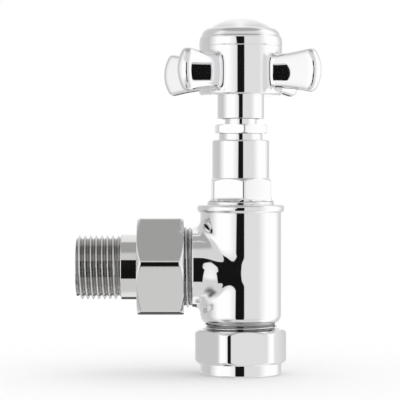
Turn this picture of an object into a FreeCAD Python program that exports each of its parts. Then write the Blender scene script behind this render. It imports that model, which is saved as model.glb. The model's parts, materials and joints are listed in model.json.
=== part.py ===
import FreeCAD, Part
import math
import os
import re
import Sketcher

# Driving dimensions, in millimetres and degrees.
# Heights are stacked from the foot of the compression nut, which is z = 0.
sizes = {
    # Copper pipe and the clearances between pieces
    "pipe_radius": 7.5,
    "pipe_clearance": 0.1,
    "running_gap": 0.06,
    "thread_gap": 0.3,
    "seat_gap": 0.1,
    # Compression nut and olive
    "collar_height": 3.7,
    "collar_round": 0.5,
    "nut_wall": 1.15,
    "nut_height": 10.9,
    "nut_chamfer": 1.5,
    "nut_crown": 2.2,
    "nut_floor": 2.4,
    "nut_seat": 2.6,
    "nut_angle": 7.75,
    "olive_length": 5.8,
    "olive_wall": 1.7,
    "olive_lip": 0.5,
    # Valve body
    "spigot_length": 10.4,
    "spigot_reveal": 2.4,
    "socket_depth": 13.6,
    "socket_cone": 3.0,
    "barrel_radius": 13.2,
    "barrel_height": 35.6,
    "base_step": 1.3,
    "base_round": 2.5,
    "bead_height": 2.6,
    "bead_stand": 1.05,
    "orifice_radius": 5.0,
    "seat_rise": 8.6,
    "seat_lip": 1.0,
    "seat_drop": 0.8,
    "chamber_gap": 1.7,
    "mouth_depth": 11.0,
    # Branch towards the radiator
    "branch_rise": 17.9,
    "branch_inset": 0.3,
    "branch_length": 15.8,
    "branch_thread_radius": 13.2,
    "branch_thread_length": 10.9,
    "branch_bore": 7.0,
    "junction_round": 3.0,
    # Union nut, tail piece and washer
    "union_side": 1.5,
    "union_length": 15.1,
    "union_chamfer": 1.4,
    "union_crown": 2.1,
    "union_wall": 3.2,
    "union_angle": 23.0,
    "washer_thickness": 1.2,
    "tail_collar": 2.2,
    "collar_gap": 0.3,
    "shank_stand": 0.15,
    "tail_shank": 5.4,
    "tail_radius": 10.4,
    "tail_thread": 14.4,
    "relief_width": 1.2,
    "relief_depth": 0.8,
    "tail_bore": 6.9,
    "tail_chamfer": 1.0,
    "key_flats": 12.8,
    "key_depth": 11.0,
    # Bonnet
    "bonnet_thread_radius": 10.0,
    "bonnet_thread_length": 9.5,
    "bonnet_wall": 2.2,
    "seal_thickness": 0.4,
    "flange_stand": 0.9,
    "flange_height": 0.9,
    "bonnet_flats": 20.0,
    "bonnet_hex_height": 7.3,
    "bonnet_chamfer": 1.1,
    "bonnet_angle": 34.3,
    "neck_radius": 9.3,
    "neck_height": 12.4,
    "neck_round": 0.6,
    "rim_radius": 7.1,
    "rim_height": 2.1,
    "box_radius": 5.6,
    "box_depth": 7.0,
    # Gland nut and packing
    "gland_flats": 17.0,
    "gland_height": 2.9,
    "gland_chamfer": 0.5,
    "gland_angle": 37.2,
    "gland_boss_radius": 5.2,
    "gland_boss_height": 4.0,
    "gland_stem": 3.6,
    # Spindle
    "stem_radius": 3.95,
    "screw_radius": 5.0,
    "screw_length": 10.0,
    "screw_top": 7.0,
    "sleeve_radius": 4.4,
    "ring_section": 0.44,
    "ring_sink": 0.94,
    "ring_rise": 2.0,
    "ring_pitch": 2.4,
    "square_flats": 6.2,
    "clip_section": 0.9,
    "clip_bite": 0.4,
    # Plug, washer and screw
    "plug_rim": 0.5,
    "plug_height": 4.5,
    "plug_stem": 2.4,
    "plug_stem_length": 11.0,
    "disc_thickness": 2.4,
    "disc_overlap": 0.4,
    "disc_screw_radius": 1.5,
    "disc_screw_length": 4.5,
    "disc_head_radius": 3.0,
    "disc_head_height": 1.5,
    # Cross handle
    "handle_gap": 1.9,
    "skirt_radius": 7.6,
    "skirt_height": 7.6,
    "skirt_wall": 1.2,
    "skirt_cavity": 5.0,
    "skirt_spigot": 3.4,
    "skirt_spigot_radius": 6.4,
    "hub_radius": 13.5,
    "hub_height": 15.8,
    "hub_round": 0.5,
    "arm_reach": 31.1,
    "arm_sink": 3.5,
    "arm_bow": 2.5,
    "arm_root_height": 5.85,
    "arm_rim_height": 7.15,
    "arm_flare": 94.0,
    "arm_width": 2.45,
    "arm_crown": 45.0,
    "arm_round": 1.5,
    "arm_root_round": 1.2,
    "arm_drop": 0.45,
    "arm_angle": 52.0,
    "bush_radius": 6.0,
    "bush_height": 9.0,
    "well_radius": 8.0,
    "handle_screw_radius": 2.0,
    "handle_screw_length": 7.0,
    "screw_hole_spare": 0.6,
    "handle_head_radius": 4.2,
    "handle_head_height": 2.6,
    # Cap ring and dome
    "band_stand": 0.1,
    "band_height": 3.3,
    "band_taper": 0.4,
    "cap_bead_height": 2.6,
    "cap_step": 0.35,
    "cap_bead_round": 3.0,
    "cap_spigot": 2.2,
    "cap_bore": 6.5,
    "dome_radius": 10.2,
    "dome_height": 3.4,
    "dome_spigot": 2.0,
    "dome_lip": 1.2,
}

document = FreeCAD.newDocument("radiator_valve")
sheet = document.addObject("Spreadsheet::Sheet", "dims")
for row, (alias, number) in enumerate(sizes.items(), start=1):
    sheet.set(f"A{row}", alias)
    sheet.set(f"B{row}", str(number))
    sheet.setAlias(f"B{row}", alias)
document.recompute()

# Levels up the main axis, each the sum of the heights below it
nut_top = "(collar_height + nut_height)"
body_base = f"({nut_top} + spigot_reveal)"
spigot_end = f"({body_base} - spigot_length)"
pipe_stop = f"({spigot_end} + socket_depth)"
seat_level = f"({body_base} + seat_rise)"
branch_level = f"({body_base} + branch_rise)"
barrel_top = f"({body_base} + barrel_height)"
body_top = f"({barrel_top} + bead_height)"
bonnet_base = f"({body_top} + seal_thickness)"
hex_base = f"({bonnet_base} + flange_height)"
hex_top = f"({hex_base} + bonnet_hex_height)"
neck_top = f"({hex_top} + neck_height)"
bonnet_top = f"({neck_top} + rim_height)"
gland_top = f"({bonnet_top} + gland_height)"
skirt_base = f"({gland_top} + handle_gap)"
hub_base = f"({skirt_base} + skirt_height)"
hub_top = f"({hub_base} + hub_height)"
band_top = f"({hub_top} + band_height)"
cap_top = f"({band_top} + cap_bead_height)"

# Radii and levels that several pieces share
pipe_bore = "(pipe_radius + pipe_clearance)"
spigot_radius = "(barrel_radius - base_step)"
nut_bore = f"({spigot_radius} + thread_gap)"
nut_flats = f"(2 * ({nut_bore} + nut_wall))"
collar_radius = f"({nut_bore} + nut_wall)"
seat_radius = "(orifice_radius + seat_lip)"
disc_radius = f"({seat_radius} + disc_overlap)"
plug_radius = f"({disc_radius} + plug_rim)"
chamber_radius = f"({plug_radius} + chamber_gap)"
branch_radius = "(barrel_radius - branch_inset)"
mouth_radius = "(bonnet_thread_radius + running_gap)"
screw_bore = "(screw_radius + running_gap)"
stem_bore = "(stem_radius + running_gap)"
box_floor = f"({bonnet_top} - box_depth)"
thread_roof = f"({hex_top} - bonnet_wall)"
screw_end = f"({thread_roof} - screw_top)"
disc_top = f"({seat_level} + disc_thickness)"
plug_top = f"({disc_top} + plug_height)"
spindle_end = f"({plug_top} + seat_gap)"
bush_base = f"({hub_base} + skirt_spigot)"
bush_top = f"({bush_base} + bush_height)"
spindle_top = f"({bush_top} - seat_gap)"
square_base = f"({bush_base} - seat_gap)"
clip_level = f"({plug_top} + plug_stem_length / 2)"
branch_end = "(branch_length + branch_thread_length)"
washer_end = f"({branch_end} + washer_thickness)"
washer_radius = "(branch_thread_radius - thread_gap)"
collar_end = f"({washer_end} + tail_collar)"
union_end = f"({collar_end} + collar_gap + union_wall)"
union_reach = f"({union_end} - union_length)"
union_bore = "(branch_thread_radius + thread_gap)"
union_flats = f"(2 * ({union_bore} + union_side))"
shank_radius = "(tail_radius + shank_stand)"
shank_end = f"({union_end} + tail_shank)"
relief_radius = "(tail_radius - relief_depth)"
relief_end = f"({shank_end} + relief_width)"
tail_end = f"({shank_end} + tail_thread)"
flange_radius = "(bonnet_thread_radius + flange_stand)"
arm_level = f"({hub_base} + hub_height / 2 - arm_drop)"
arm_rim = "(arm_reach - arm_bow)"
band_radius = "(hub_radius + band_stand)"
dome_spigot_radius = "(dome_radius - dome_lip)"


def tie(text):
    """Point each size named in a formula at its cell."""
    return re.sub(r"[a-z]\w*", lambda word: f"dims.{word[0]}" if word[0] in sizes else word[0], text)


def measure(text):
    """Work out a formula with the present sizes."""
    return float(sheet.evalExpression(tie(text)))


def add_body(label):
    body = document.addObject("PartDesign::Body", label)
    body.Label = label
    return body


def add_sketch(body, name, role):
    sketch = body.newObject("Sketcher::SketchObject", name)
    plane = next(item for item in body.Origin.OriginFeatures if item.Role == role)
    sketch.AttachmentSupport = (plane, [""])
    sketch.MapMode = "FlatFace"
    return sketch


def bind(sketch, kind, places, text):
    """Add a driving constraint and bind it to a formula."""
    index = sketch.addConstraint(Sketcher.Constraint(kind, *places, measure(text)))
    sketch.setExpression(f"Constraints[{index}]", tie(text))


def pin(sketch, edge, end, across, along):
    """Fix one end of an edge at a place measured from the sketch's axes."""
    for text, kind, axis in ((across, "DistanceX", -2), (along, "DistanceY", -1)):
        if text == "0":
            sketch.addConstraint(Sketcher.Constraint("PointOnObject", edge, end, axis))
        else:
            bind(sketch, kind, (-1, 1, edge, end), text)


def arc_between(start, finish, radius, hollow):
    """The short arc from start to finish, anticlockwise unless it is hollow."""
    chord = finish - start
    half = chord.Length / 2
    side = FreeCAD.Vector(-chord.y, chord.x, 0).normalize()
    rise = math.sqrt(max(radius * radius - half * half, 0))
    centre = start + chord / 2 + side * (-rise if hollow else rise)
    swing = 1 if hollow else -1
    middle = centre + side * radius * swing
    return Part.Arc(start, middle, finish)


def draw_outline(sketch, outline):
    """Draw a closed outline anticlockwise.

    Each entry is (across, along), and a third item makes the run to the next point
    an arc of that radius, hollow where a fourth item says so.
    """
    corners = [FreeCAD.Vector(measure(entry[0]), measure(entry[1]), 0) for entry in outline]
    edges = []
    ends = []
    for place, entry in enumerate(outline):
        start = corners[place]
        finish = corners[(place + 1) % len(corners)]
        if len(entry) == 2:
            edges.append(sketch.addGeometry(Part.LineSegment(start, finish), False))
            ends.append((1, 2))
        else:
            hollow = len(entry) == 4
            edges.append(sketch.addGeometry(arc_between(start, finish, measure(entry[2]), hollow), False))
            ends.append((2, 1) if hollow else (1, 2))
    for place, edge in enumerate(edges):
        following = (place + 1) % len(edges)
        joint = (edge, ends[place][1], edges[following], ends[following][0])
        sketch.addConstraint(Sketcher.Constraint("Coincident", *joint))
    for entry, edge, end in zip(outline, edges, ends):
        pin(sketch, edge, end[0], entry[0], entry[1])
        if len(entry) > 2:
            bind(sketch, "Radius", (edge,), entry[2])


def turn_outline(body, kind, name, outline):
    """Revolve an outline of (radius, height) points round the body's own axis."""
    sketch = add_sketch(body, f"{name}_outline", "XZ_Plane")
    draw_outline(sketch, outline)
    feature = body.newObject(f"PartDesign::{kind}", name)
    feature.Profile = sketch
    feature.ReferenceAxis = (sketch, ["V_Axis"])
    feature.Angle = 360
    document.recompute()
    return feature


def turned(label, outline):
    """A body that is one turned solid."""
    body = add_body(label)
    turn_outline(body, "Revolution", f"{label}_turning", outline)
    return body


def ring(label, inner, outer, base, top):
    """A plain turned ring with a square section."""
    return turned(label, [(inner, base), (outer, base), (outer, top), (inner, top)])


def draw_polygon(sketch, count, circle_text):
    """A regular polygon with its first corner on the sketch's own x axis."""
    radius = measure(circle_text)
    corners = []
    for step in range(count):
        angle = math.tau * step / count
        corners.append(FreeCAD.Vector(radius * math.cos(angle), radius * math.sin(angle), 0))
    guide = sketch.addGeometry(Part.Circle(FreeCAD.Vector(), FreeCAD.Vector(0, 0, 1), radius), True)
    sketch.addConstraint(Sketcher.Constraint("Coincident", guide, 3, -1, 1))
    bind(sketch, "Radius", (guide,), circle_text)
    sides = []
    for step in range(count):
        side = Part.LineSegment(corners[step], corners[(step + 1) % count])
        sides.append(sketch.addGeometry(side, False))
    for step, side in enumerate(sides):
        sketch.addConstraint(Sketcher.Constraint("Coincident", side, 2, sides[(step + 1) % count], 1))
        sketch.addConstraint(Sketcher.Constraint("PointOnObject", side, 1, guide))
        if step:
            sketch.addConstraint(Sketcher.Constraint("Equal", sides[0], side))
    sketch.addConstraint(Sketcher.Constraint("PointOnObject", sides[0], 1, -1))


def cut_sketch(body, sketch, name, depth=None):
    """Cut a sketch upwards out of the body, right through unless a depth is given."""
    before = body.Shape.Volume
    pocket = body.newObject("PartDesign::Pocket", name)
    pocket.Profile = sketch
    pocket.Reversed = True
    if depth:
        pocket.Type = "Length"
        pocket.setExpression("Length", tie(depth))
    else:
        pocket.Type = "ThroughAll"
    document.recompute()
    if body.Shape.Volume >= before:
        raise RuntimeError(f"{name} removes nothing")


def cut_flats(body, name, flats, count, base, height, turn="0"):
    """Cut flats round a turned blank and leave a hexagon or a square standing."""
    sketch = add_sketch(body, f"{name}_sketch", "XY_Plane")
    sketch.setExpression("AttachmentOffset.Base.z", tie(base))
    sketch.setExpression("AttachmentOffset.Rotation.Angle", tie(turn))
    draw_polygon(sketch, count, f"{flats} / 2 / cos(180 deg / {count})")
    outer = sketch.addGeometry(Part.Circle(FreeCAD.Vector(), FreeCAD.Vector(0, 0, 1), measure(flats)), False)
    sketch.addConstraint(Sketcher.Constraint("Coincident", outer, 3, -1, 1))
    bind(sketch, "Radius", (outer,), flats)
    cut_sketch(body, sketch, name, height)


def corner_radius(flats):
    return f"({flats} / 2 / cos(30 deg))"


def along_branch(body):
    """Turn a body's own axis to run out along the branch."""
    body.Placement = FreeCAD.Placement(FreeCAD.Vector(), FreeCAD.Rotation(FreeCAD.Vector(0, 1, 0), -90))
    body.setExpression("Placement.Base.z", tie(branch_level))


# Compression nut, with a collar at its foot and a cone inside that closes on the olive
nut_corner = corner_radius(nut_flats)
compression_nut = turned("compression_nut", [
    (pipe_bore, "0"),
    (f"{collar_radius} - collar_round", "0", "collar_round"),
    (collar_radius, "collar_round"),
    (collar_radius, "collar_height"),
    (nut_corner, "collar_height + nut_chamfer"),
    (nut_corner, f"{nut_top} - nut_chamfer"),
    (f"{nut_corner} - nut_crown", nut_top),
    (nut_bore, nut_top),
    (nut_bore, "nut_floor + nut_seat"),
    (f"{pipe_bore} + olive_lip + thread_gap", "nut_floor"),
    (pipe_bore, "nut_floor"),
])
cut_flats(compression_nut, "nut_hexagon", nut_flats, 6, "collar_height", "nut_height", "nut_angle")

# Olive, a barrel-backed ring that the nut squeezes on the pipe
olive_base = "(nut_floor + seat_gap)"
olive_bulge = "(olive_wall - olive_lip)"
olive = turned("olive", [
    (pipe_bore, olive_base),
    (f"{pipe_bore} + olive_lip", olive_base, f"(olive_length^2 / 4 + {olive_bulge}^2) / (2 * {olive_bulge})"),
    (f"{pipe_bore} + olive_lip", f"{olive_base} + olive_length"),
    (pipe_bore, f"{olive_base} + olive_length"),
])


def turn_branch(body, kind, name, outline):
    """Revolve an outline of (reach, radius) points round the branch's axis."""
    sketch = add_sketch(body, f"{name}_outline", "XZ_Plane")
    sketch.AttachmentOffset = FreeCAD.Placement(FreeCAD.Vector(), FreeCAD.Rotation(FreeCAD.Vector(0, 1, 0), 180))
    sketch.setExpression("AttachmentOffset.Base.y", tie(branch_level))
    draw_outline(sketch, outline)
    feature = body.newObject(f"PartDesign::{kind}", name)
    feature.Profile = sketch
    feature.ReferenceAxis = (sketch, ["H_Axis"])
    feature.Angle = 360
    document.recompute()


def round_edges(body, name, radius, wanted):
    """Fillet the edges of the body's present shape that the test picks out."""
    base = body.Tip
    names = [f"Edge{number}" for number, edge in enumerate(base.Shape.Edges, start=1) if wanted(edge)]
    fillet = body.newObject("PartDesign::Fillet", name)
    fillet.Base = (base, names)
    fillet.setExpression("Radius", tie(radius))
    document.recompute()


# Valve body: barrel, branch, pipe socket, seat and the mouth for the bonnet
valve_body = turned("valve_body", [
    ("0", spigot_end),
    (spigot_radius, spigot_end),
    (spigot_radius, body_base, "(base_round^2 + base_step^2) / (2 * base_step)"),
    ("barrel_radius", f"{body_base} + base_round"),
    ("barrel_radius", barrel_top, "(bead_height^2 / 4 + bead_stand^2) / (2 * bead_stand)"),
    ("barrel_radius", body_top),
    ("0", body_top),
])
turn_branch(valve_body, "Revolution", "branch", [
    ("0", "0"),
    (branch_end, "0"),
    (branch_end, "branch_thread_radius"),
    ("branch_length", "branch_thread_radius"),
    ("branch_length", branch_radius),
    ("0", branch_radius),
])
round_edges(valve_body, "junction", "junction_round", lambda edge: "BSpline" in edge.Curve.TypeId)
turn_outline(valve_body, "Groove", "waterway", [
    ("0", spigot_end),
    (f"{pipe_bore} + olive_wall + thread_gap", spigot_end),
    (pipe_bore, f"{spigot_end} + socket_cone"),
    (pipe_bore, pipe_stop),
    ("orifice_radius", pipe_stop),
    ("orifice_radius", seat_level),
    (seat_radius, seat_level),
    (seat_radius, f"{seat_level} - seat_drop"),
    (chamber_radius, f"{seat_level} - seat_drop"),
    (chamber_radius, f"{body_top} - mouth_depth"),
    (mouth_radius, f"{body_top} - mouth_depth"),
    (mouth_radius, body_top),
    ("0", body_top),
])
turn_branch(valve_body, "Groove", "outlet", [
    ("0", "0"),
    (branch_end, "0"),
    (branch_end, "branch_bore"),
    ("0", "branch_bore"),
])

# Union nut, captive behind the collar of the tail piece
union_corner = corner_radius(union_flats)
tail_hole = f"({shank_radius} + thread_gap)"
union_nut = turned("union_nut", [
    (union_bore, union_reach),
    (f"{union_corner} - union_crown", union_reach),
    (union_corner, f"{union_reach} + union_chamfer"),
    (union_corner, f"{union_end} - union_chamfer"),
    (f"{union_corner} - union_crown", union_end),
    (tail_hole, union_end),
    (tail_hole, f"{union_end} - union_wall"),
    (union_bore, f"{union_end} - union_wall"),
])
cut_flats(union_nut, "union_hexagon", union_flats, 6, union_reach, "union_length", "-union_angle")
along_branch(union_nut)

# Tail piece, with a hexagon broached in its mouth for the fitting key
tail_piece = turned("tail_piece", [
    ("tail_bore", washer_end),
    (washer_radius, washer_end),
    (washer_radius, collar_end),
    (shank_radius, collar_end),
    (shank_radius, shank_end),
    (relief_radius, shank_end),
    (relief_radius, relief_end),
    ("tail_radius", relief_end),
    ("tail_radius", f"{tail_end} - tail_chamfer"),
    ("tail_radius - tail_chamfer", tail_end),
    ("key_flats / 2", tail_end),
    ("key_flats / 2", f"{tail_end} - key_depth"),
    ("tail_bore", f"{tail_end} - key_depth"),
])
key_sketch = add_sketch(tail_piece, "key_sketch", "XY_Plane")
key_sketch.setExpression("AttachmentOffset.Base.z", tie(f"{tail_end} - key_depth"))
draw_polygon(key_sketch, 6, corner_radius("key_flats"))
cut_sketch(tail_piece, key_sketch, "key_hexagon", "key_depth")
along_branch(tail_piece)

tail_washer = ring("tail_washer", "branch_bore", washer_radius, branch_end, washer_end)
along_branch(tail_washer)

# Bonnet and the seal under its flange
bonnet_seal = ring("bonnet_seal", mouth_radius, flange_radius, body_top, bonnet_base)
bonnet_corner = corner_radius("bonnet_flats")
bonnet_foot = f"({bonnet_base} - bonnet_thread_length)"
bonnet = turned("bonnet", [
    (screw_bore, bonnet_foot),
    ("bonnet_thread_radius", bonnet_foot),
    ("bonnet_thread_radius", bonnet_base),
    (flange_radius, bonnet_base),
    (flange_radius, hex_base),
    (bonnet_corner, hex_base),
    (bonnet_corner, f"{hex_top} - bonnet_chamfer"),
    ("neck_radius", hex_top),
    ("neck_radius", f"{neck_top} - neck_round", "neck_round"),
    ("neck_radius - neck_round", neck_top),
    ("rim_radius", neck_top),
    ("rim_radius", bonnet_top),
    ("box_radius", bonnet_top),
    ("box_radius", box_floor),
    (stem_bore, box_floor),
    (stem_bore, thread_roof),
    (screw_bore, thread_roof),
])
cut_flats(bonnet, "bonnet_hexagon", "bonnet_flats", 6, hex_base, "bonnet_hex_height", "bonnet_angle")

# Gland nut, which screws down on the packing round the stem
gland_corner = corner_radius("gland_flats")
gland_foot = f"({bonnet_top} - gland_stem)"
gland_packing = ring("gland_packing", stem_bore, "box_radius - running_gap", box_floor, gland_foot)
gland_nut = turned("gland_nut", [
    (stem_bore, gland_foot),
    ("box_radius - running_gap", gland_foot),
    ("box_radius - running_gap", bonnet_top),
    (f"{gland_corner} - 2 * gland_chamfer", bonnet_top),
    (gland_corner, f"{bonnet_top} + gland_chamfer"),
    (gland_corner, f"{gland_top} - gland_chamfer"),
    (f"{gland_corner} - 2 * gland_chamfer", gland_top),
    ("gland_boss_radius", gland_top),
    ("gland_boss_radius", f"{gland_top} + gland_boss_height"),
    (stem_bore, f"{gland_top} + gland_boss_height"),
])
cut_flats(gland_nut, "gland_hexagon", "gland_flats", 6, bonnet_top, "gland_height", "gland_angle")

# Plug, with the rubber disc that closes on the seat and the screw that holds it
socket_bore = "(plug_stem + running_gap)"
stem_top = f"({plug_top} + plug_stem_length)"
clip_base = f"({clip_level} - clip_section / 2)"
clip_roof = f"({clip_level} + clip_section / 2)"
disc_screw_hole = "(disc_screw_radius + running_gap)"
disc_screw_end = f"({seat_level} + disc_screw_length)"
plug = turned("plug", [
    (disc_screw_hole, disc_top),
    (plug_radius, disc_top),
    (plug_radius, plug_top),
    ("plug_stem", plug_top),
    ("plug_stem", f"{clip_base} - running_gap"),
    ("plug_stem - clip_bite", f"{clip_base} - running_gap"),
    ("plug_stem - clip_bite", f"{clip_roof} + running_gap"),
    ("plug_stem", f"{clip_roof} + running_gap"),
    ("plug_stem", stem_top),
    ("0", stem_top),
    ("0", f"{disc_screw_end} + seat_gap"),
    (disc_screw_hole, f"{disc_screw_end} + seat_gap"),
])
seat_disc = ring("seat_disc", disc_screw_hole, disc_radius, seat_level, disc_top)
disc_screw = turned("disc_screw", [
    ("0", f"{seat_level} - disc_head_height"),
    ("disc_head_radius", f"{seat_level} - disc_head_height"),
    ("disc_head_radius", seat_level),
    ("disc_screw_radius", seat_level),
    ("disc_screw_radius", disc_screw_end),
    ("0", disc_screw_end),
])
clip_inner = "(plug_stem - clip_bite + running_gap)"
clip_outer = f"({socket_bore} + clip_bite)"
plug_clip = ring("plug_clip", clip_inner, clip_outer, clip_base, clip_roof)

# Spindle: socket for the plug, screw, grooved stem and a square that drives it
ring_level = f"({thread_roof} + ring_rise)"
groove_floor = "(stem_radius - ring_sink)"
screw_hole = "(handle_screw_radius + running_gap)"
screw_hole_end = f"({bush_top} - handle_screw_length - screw_hole_spare)"


def ring_groove(step):
    """The notch that one sealing ring sits in, going up the stem."""
    low = f"{ring_level} + {step} * ring_pitch - ring_section - running_gap"
    high = f"{ring_level} + {step} * ring_pitch + ring_section + running_gap"
    return [("stem_radius", low), (groove_floor, low), (groove_floor, high), ("stem_radius", high)]


spindle = turned("spindle", [
    (socket_bore, spindle_end),
    ("sleeve_radius", spindle_end),
    ("sleeve_radius", f"{screw_end} - screw_length"),
    ("screw_radius", f"{screw_end} - screw_length"),
    ("screw_radius", screw_end),
    ("stem_radius", screw_end),
    *ring_groove(0),
    *ring_groove(1),
    ("stem_radius", spindle_top),
    (screw_hole, spindle_top),
    (screw_hole, screw_hole_end),
    ("0", screw_hole_end),
    ("0", f"{stem_top} + seat_gap"),
    (socket_bore, f"{stem_top} + seat_gap"),
    (socket_bore, f"{clip_roof} + running_gap"),
    (f"{clip_outer} + running_gap", f"{clip_roof} + running_gap"),
    (f"{clip_outer} + running_gap", f"{clip_base} - running_gap"),
    (socket_bore, f"{clip_base} - running_gap"),
])
cut_flats(spindle, "drive_square", "square_flats", 4, square_base, f"{spindle_top} - {square_base}", "45")

# Two sealing rings on the stem, which share one node
stem_rings = []
for step in range(2):
    stem_ring = document.addObject("Part::Torus", f"stem_ring_{step + 1}")
    stem_ring.setExpression("Radius1", tie(f"{groove_floor} + ring_section + running_gap / 3"))
    stem_ring.setExpression("Radius2", tie("ring_section"))
    stem_ring.setExpression("Placement.Base.z", tie(f"{ring_level} + {step} * ring_pitch"))
    stem_rings.append(stem_ring)
spindle_rings = document.addObject("Part::Compound", "spindle_rings")
spindle_rings.Label = "spindle_rings"
spindle_rings.Links = stem_rings

# Cross handle: four flared arms round a drum
crosshead = add_body("crosshead")
crosshead.Placement = FreeCAD.Placement(FreeCAD.Vector(), FreeCAD.Rotation(FreeCAD.Vector(0, 0, 1), 45))
crosshead.setExpression("Placement.Rotation.Angle", tie("arm_angle"))
arm_start = "(hub_radius - arm_sink)"
blank_height = "(arm_rim_height + arm_round)"
blank_edge = f"(arm_crown - sqrt(arm_crown^2 - {blank_height}^2))"
arm_low = f"({arm_level} - {blank_height})"
arm_high = f"({arm_level} + {blank_height})"

# An arm's section is a lens, crowned on both flanks
section = add_sketch(crosshead, "arm_section", "YZ_Plane")
section.setExpression("AttachmentOffset.Base.x", tie("-arm_width"))
section.setExpression("AttachmentOffset.Base.z", tie(arm_start))
draw_outline(section, [
    (blank_edge, arm_low),
    (f"2 * arm_width - {blank_edge}", arm_low, "arm_crown"),
    (f"2 * arm_width - {blank_edge}", arm_high),
    (blank_edge, arm_high, "arm_crown"),
])
arm_blank = crosshead.newObject("PartDesign::Pad", "arm_blank")
arm_blank.Profile = section
arm_blank.setExpression("Length", tie(f"arm_reach + arm_round - {arm_start}"))
document.recompute()

# Seen from the side, an arm flares to its rim and ends in a bow
waste = add_sketch(crosshead, "arm_waste", "XZ_Plane")
draw_outline(waste, [
    ("0", f"{arm_low} - arm_round"),
    ("2 * arm_reach", f"{arm_low} - arm_round"),
    ("2 * arm_reach", f"{arm_high} + arm_round"),
    ("0", f"{arm_high} + arm_round"),
    ("0", f"{arm_level} + arm_root_height", "arm_flare"),
    (arm_rim, f"{arm_level} + arm_rim_height", "(arm_rim_height^2 + arm_bow^2) / (2 * arm_bow)", "hollow"),
    (arm_rim, f"{arm_level} - arm_rim_height", "arm_flare"),
    ("0", f"{arm_level} - arm_root_height"),
])
arm_trim = crosshead.newObject("PartDesign::Pocket", "arm_trim")
arm_trim.Profile = waste
arm_trim.Type = "ThroughAll"
arm_trim.SideType = "Symmetric"
document.recompute()
# The root face of the arm ends in the drum and stays sharp
root_margin = 0.1
round_edges(crosshead, "arm_edges", "arm_round", lambda edge: edge.CenterOfMass.x > root_margin + measure(arm_start))
arms = crosshead.newObject("PartDesign::PolarPattern", "arms")
arms.TransformMode = "Whole shape"
arms.Axis = (next(item for item in crosshead.Origin.OriginFeatures if item.Role == "Z_Axis"), [""])
arms.Angle = 360
arms.Occurrences = 4
crosshead.Tip = arms
document.recompute()
turn_outline(crosshead, "Revolution", "drum", [
    ("0", hub_base),
    ("hub_radius - hub_round", hub_base, "hub_round"),
    ("hub_radius", f"{hub_base} + hub_round"),
    ("hub_radius", hub_top),
    ("0", hub_top),
])
turn_outline(crosshead, "Groove", "hub_bore", [
    ("0", hub_base),
    ("skirt_spigot_radius + running_gap", hub_base),
    ("skirt_spigot_radius + running_gap", bush_base),
    ("bush_radius + running_gap", bush_base),
    ("bush_radius + running_gap", bush_top),
    ("well_radius", bush_top),
    ("well_radius", hub_top),
    ("0", hub_top),
])


def is_arm_root(edge):
    """Whether an edge lies on the drum's wall, where an arm leaves it."""
    if edge.Degenerated or isinstance(edge.Curve, Part.Line):
        return False
    middle = edge.valueAt((edge.FirstParameter + edge.LastParameter) / 2)
    on_wall = abs(math.hypot(middle.x, middle.y) - measure("hub_radius")) < root_margin
    return on_wall and measure(f"{hub_base} + arm_root_round") < middle.z < measure(f"{hub_top} - arm_root_round")


round_edges(crosshead, "arm_roots", "arm_root_round", is_arm_root)

# Skirt under the drum, which hides the top of the gland
skirt_bore = "(skirt_radius - skirt_wall)"
handle_skirt = turned("handle_skirt", [
    (skirt_bore, skirt_base),
    ("skirt_radius", skirt_base),
    ("skirt_radius", hub_base),
    ("skirt_spigot_radius", hub_base),
    ("skirt_spigot_radius", bush_base),
    (stem_bore, bush_base),
    (stem_bore, f"{skirt_base} + skirt_cavity"),
    (skirt_bore, f"{skirt_base} + skirt_cavity"),
])

# Brass bush that takes the spindle's square, and the screw that holds the handle down
drive_bush = turned("drive_bush", [
    ("0", bush_base),
    ("bush_radius", bush_base),
    ("bush_radius", bush_top),
    ("0", bush_top),
])
square_hole = add_sketch(drive_bush, "square_hole", "XY_Plane")
square_hole.setExpression("AttachmentOffset.Base.z", tie(bush_base))
square_hole.setExpression("AttachmentOffset.Rotation.Angle", tie("45"))
draw_polygon(square_hole, 4, "(square_flats / 2 + running_gap) / cos(45 deg)")
cut_sketch(drive_bush, square_hole, "square_socket")
handle_screw = turned("handle_screw", [
    ("0", f"{bush_top} - handle_screw_length"),
    ("handle_screw_radius", f"{bush_top} - handle_screw_length"),
    ("handle_screw_radius", bush_top),
    ("handle_head_radius", bush_top),
    ("handle_head_radius", f"{bush_top} + handle_head_height"),
    ("0", f"{bush_top} + handle_head_height"),
])

# Cap ring with its band and bead, and the dome that closes it
cap_ring = turned("cap_ring", [
    ("cap_bore", f"{hub_top} - cap_spigot"),
    ("well_radius - running_gap", f"{hub_top} - cap_spigot"),
    ("well_radius - running_gap", hub_top),
    (band_radius, hub_top),
    (f"{band_radius} - band_taper", band_top),
    (f"{band_radius} - band_taper - cap_step", band_top, "cap_bead_round"),
    ("dome_radius + thread_gap", cap_top),
    (f"{dome_spigot_radius} + running_gap", cap_top),
    (f"{dome_spigot_radius} + running_gap", f"{cap_top} - dome_spigot"),
    ("cap_bore", f"{cap_top} - dome_spigot"),
])
dome_cap = turned("dome_cap", [
    ("0", f"{cap_top} - dome_spigot"),
    (dome_spigot_radius, f"{cap_top} - dome_spigot"),
    (dome_spigot_radius, cap_top),
    ("dome_radius", cap_top, "(dome_radius^2 + dome_height^2) / (2 * dome_height)"),
    ("0", f"{cap_top} + dome_height"),
])

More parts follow.
